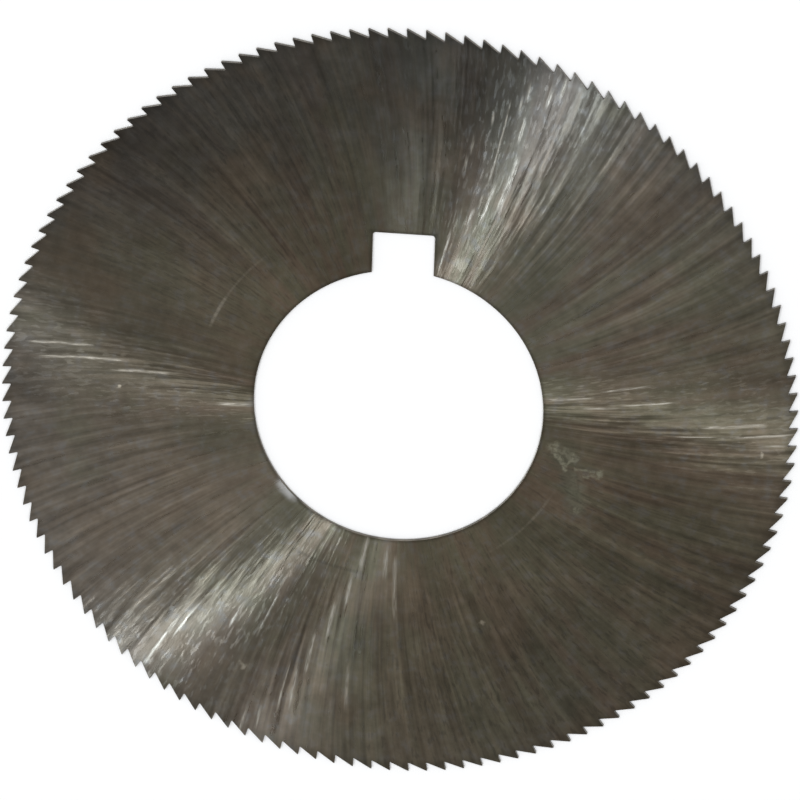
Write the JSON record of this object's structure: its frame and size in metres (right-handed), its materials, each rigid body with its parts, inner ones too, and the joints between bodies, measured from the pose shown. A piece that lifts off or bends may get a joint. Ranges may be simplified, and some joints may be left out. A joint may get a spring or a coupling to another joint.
{
  "type": "slitting saw blade",
  "caption": "Thin round slitting saw for metal, with fine ratchet-shaped teeth round its rim, a plain bore and a square keyway.",
  "frame": {"origin": "centre of the bore, on the blade's middle plane", "axes": "+Z along the bore's axis, out of the face that the picture shows; +Y from the axis through the middle of the keyway. Seen from +Z the rake faces point anticlockwise, so that is the way the blade cuts."},
  "size_m": [0.0698, 0.0698, 0.0004],
  "materials": {
    "ground_steel": "dull ground high-speed steel with fine curved radial grinding marks, brown and grey tarnish and a faint collar ring"
  },
  "bodies": {
    "root": {"saw_blade": "ground_steel"}
  },
  "joints": []
}
